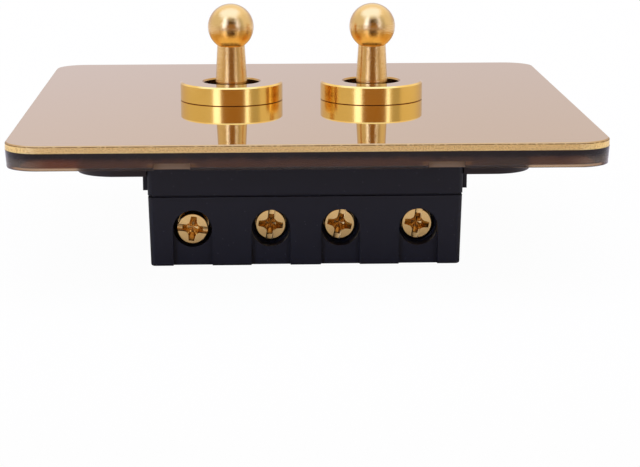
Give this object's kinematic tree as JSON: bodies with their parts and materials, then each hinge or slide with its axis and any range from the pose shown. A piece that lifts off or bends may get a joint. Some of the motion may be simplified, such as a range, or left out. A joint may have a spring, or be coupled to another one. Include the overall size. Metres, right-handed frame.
{
  "type": "dolly switch",
  "caption": "Square polished face plate with turned ball-ended toggle levers in raised collars, over a smoky rim, a flat slotted yoke and a black housing with screw terminals.",
  "frame": {"origin": "centre of the housing's bottom face, under the middle of the face plate", "axes": "+X along the row of levers, +Y from the side with four terminals towards the back, +Z out through the face plate"},
  "size_m": [0.086, 0.086, 0.0379],
  "materials": {
    "polished_brass": "mirror polished, unlacquered",
    "turned_brass": "turned, with fine tool marks",
    "terminal_brass": "satin",
    "smoky_plastic": "smoky, translucent",
    "black_plastic": "fine spark-eroded matt",
    "steel": "bright zinc",
    "silver": "silver contact face"
  },
  "bodies": {
    "switch_body": {"face_plate": "polished_brass", "cover_frame": "smoky_plastic", "mounting_yoke": "smoky_plastic", "housing_top": "black_plastic", "housing_base": "black_plastic", "housing_screws": "steel", "terminal_blocks": "terminal_brass", "terminal_screws": "terminal_brass", "bezel_ring_left": "turned_brass", "ring_nut_left": "terminal_brass", "pivot_pin_left": "steel", "common_contact_left": "terminal_brass", "front_contact_left": "terminal_brass", "rear_contact_left": "terminal_brass", "fixed_rivets_left": "silver", "bezel_ring_right": "turned_brass", "ring_nut_right": "terminal_brass", "pivot_pin_right": "steel", "common_contact_right": "terminal_brass", "front_contact_right": "terminal_brass", "rear_contact_right": "terminal_brass", "fixed_rivets_right": "silver"},
    "lever_left": {"dolly_left": "turned_brass", "cradle_left": "black_plastic", "dolly_spring_left": "steel"},
    "plunger_left": {"plunger_left": "steel"},
    "rocker_left": {"contact_rocker_left": "terminal_brass", "moving_contacts_left": "silver"},
    "lever_right": {"dolly_right": "turned_brass", "cradle_right": "black_plastic", "dolly_spring_right": "steel"},
    "plunger_right": {"plunger_right": "steel"},
    "rocker_right": {"contact_rocker_right": "terminal_brass", "moving_contacts_right": "silver"}
  },
  "joints": [
    {"name": "lever_swing_left", "type": "hinge", "parent": "switch_body", "child": "lever_left", "pos_m": [-0.01125, 0, 0.013], "axis": [1, 0, 0], "range_deg": [-10, 0]},
    {"name": "plunger_slide_left", "type": "slide", "parent": "lever_left", "child": "plunger_left", "axis": [0, -0.0872, 0.9962], "range_m": [0, 0.0004], "stiffness_N_per_m": 100, "springref_m": -0.001, "deforming": ["dolly_spring_left"]},
    {"name": "rocker_tilt_left", "type": "hinge", "parent": "switch_body", "child": "rocker_left", "pos_m": [-0.01125, 0, 0.0055], "axis": [1, 0, 0], "range_deg": [0, 14]},
    {"name": "lever_swing_right", "type": "hinge", "parent": "switch_body", "child": "lever_right", "pos_m": [0.01125, 0, 0.013], "axis": [1, 0, 0], "range_deg": [-10, 0]},
    {"name": "plunger_slide_right", "type": "slide", "parent": "lever_right", "child": "plunger_right", "axis": [0, -0.0872, 0.9962], "range_m": [0, 0.0004], "stiffness_N_per_m": 100, "springref_m": -0.001, "deforming": ["dolly_spring_right"]},
    {"name": "rocker_tilt_right", "type": "hinge", "parent": "switch_body", "child": "rocker_right", "pos_m": [0.01125, 0, 0.0055], "axis": [1, 0, 0], "range_deg": [0, 14]}
  ],
  "couplings": [
    {"joint": "rocker_tilt_left", "follows": "lever_swing_left", "ratio": -1.4},
    {"joint": "rocker_tilt_right", "follows": "lever_swing_right", "ratio": -1.4}
  ]
}
